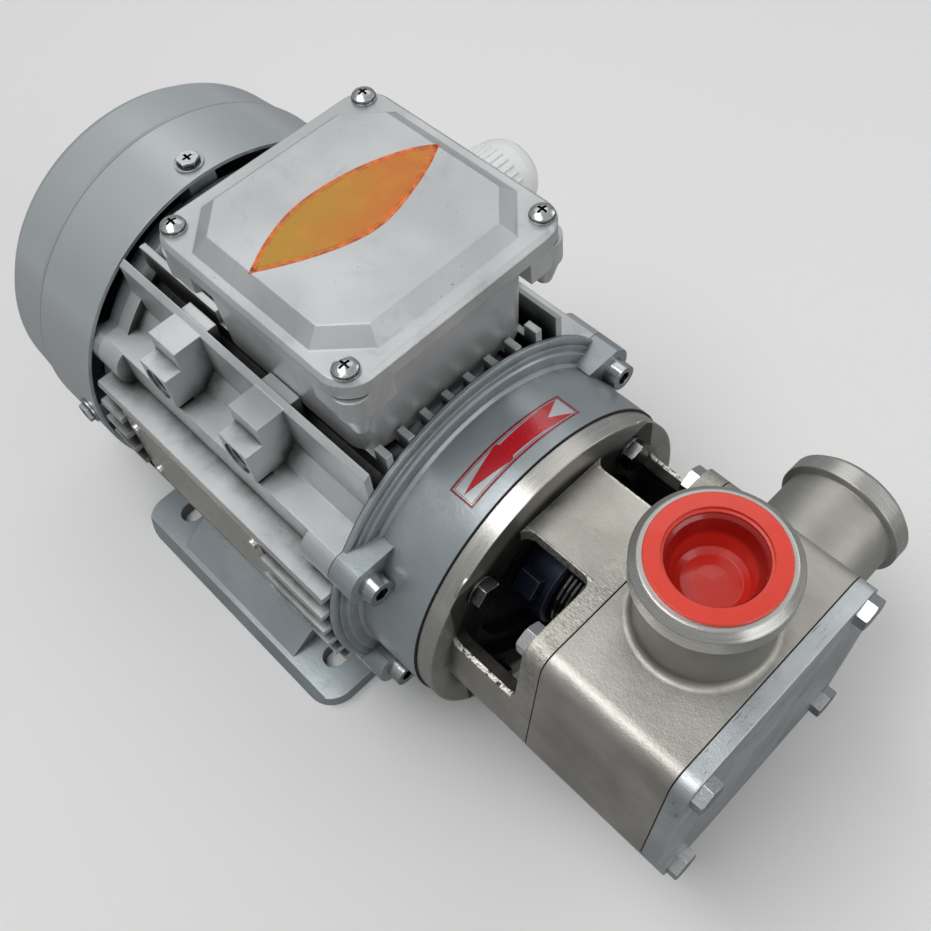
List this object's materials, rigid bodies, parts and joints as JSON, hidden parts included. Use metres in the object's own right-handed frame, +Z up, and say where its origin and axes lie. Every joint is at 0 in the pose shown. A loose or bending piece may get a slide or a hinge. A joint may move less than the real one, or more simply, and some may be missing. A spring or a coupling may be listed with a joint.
{
  "type": "flexible impeller pump with electric motor",
  "caption": "Close-coupled flexible impeller pump: finned foot-mounted motor, open cast lantern, stainless pump casing with ports at right angles and a bolted cover.",
  "frame": {"origin": "on the floor, midway between the two front foot slots, under the shaft axis", "axes": "+X along the shaft towards the pump, +Y to the side of the side port, +Z up towards the top port"},
  "size_m": [0.334, 0.175, 0.2006],
  "materials": {
    "motor_paint": "light blue-grey enamel",
    "cast_alu": "cast, thinly painted",
    "electro_steel": "varnished laminations",
    "winding": "varnished copper wire",
    "rotor_alu": "cast",
    "ground_steel": "ground",
    "bearing_steel": "polished",
    "zinc_screw": "zinc plated",
    "black_rubber": "matt",
    "dark_plastic": "moulded",
    "light_plastic": "moulded",
    "red_plastic": "moulded",
    "plate_alu": "thin sheet",
    "cast_stainless": "cast, blasted",
    "dark_shaft": "dark blue-black",
    "stainless": "turned",
    "carbon": "carbon",
    "ceramic": "ceramic",
    "brass": "plain"
  },
  "bodies": {
    "frame": {"motor_frame": "cast_alu", "stator_core": "electro_steel", "stator_windings": "winding", "front_bearing_outer": "bearing_steel", "rear_bearing_outer": "bearing_steel", "preload_washer": "ground_steel", "front_end_shield": "motor_paint", "rear_end_shield": "motor_paint", "front_shield_screws": "zinc_screw", "rear_shield_screws": "zinc_screw", "shaft_seal": "black_rubber", "fan_cowl": "motor_paint", "cowl_screws": "zinc_screw", "foot_left": "motor_paint", "foot_right": "motor_paint", "foot_screws": "zinc_screw", "nameplate": "plate_alu", "nameplate_rivets": "rotor_alu", "terminal_box": "cast_alu", "box_gasket": "black_rubber", "terminal_box_lid": "motor_paint", "lid_screws": "zinc_screw", "terminal_block": "dark_plastic", "terminal_studs": "brass", "gland_body": "light_plastic", "gland_seal": "black_rubber", "gland_nut": "light_plastic", "lantern": "cast_stainless", "lantern_bolts": "zinc_screw", "seal_seat": "ceramic", "pump_casing": "cast_stainless", "wear_plate": "stainless", "cam": "stainless", "cam_pin": "stainless", "cover_oring": "black_rubber", "pump_cover": "stainless", "tie_bolts": "zinc_screw", "tie_nuts": "zinc_screw"},
    "rotor": {"rotor_core": "electro_steel", "rotor_end_rings": "rotor_alu", "motor_shaft": "ground_steel", "shaft_key": "ground_steel", "front_bearing_inner": "bearing_steel", "rear_bearing_inner": "bearing_steel", "cooling_fan": "dark_plastic", "fan_circlip": "ground_steel", "pump_shaft": "dark_shaft", "hub_setscrew": "dark_shaft", "seal_spring": "stainless", "seal_ring": "carbon", "impeller_insert": "brass", "drive_key": "stainless", "impeller": "black_rubber"},
    "ball_sets": {"front_bearing_balls": "bearing_steel", "rear_bearing_balls": "bearing_steel"},
    "plug": {"port_plug": "red_plastic"}
  },
  "joints": [
    {"name": "rotor_spin", "type": "hinge", "parent": "frame", "child": "rotor", "pos_m": [0, 0, 0.08], "axis": [1, 0, 0], "continuous": true, "deforming": ["impeller"]},
    {"name": "balls_spin", "type": "hinge", "parent": "frame", "child": "ball_sets", "pos_m": [0, 0, 0.08], "axis": [1, 0, 0], "continuous": true},
    {"name": "plug_pull", "type": "slide", "parent": "frame", "child": "plug", "axis": [0, 0, 1], "range_m": [0, 0.03]}
  ],
  "couplings": [
    {"joint": "balls_spin", "follows": "rotor_spin", "ratio": 0.385}
  ]
}
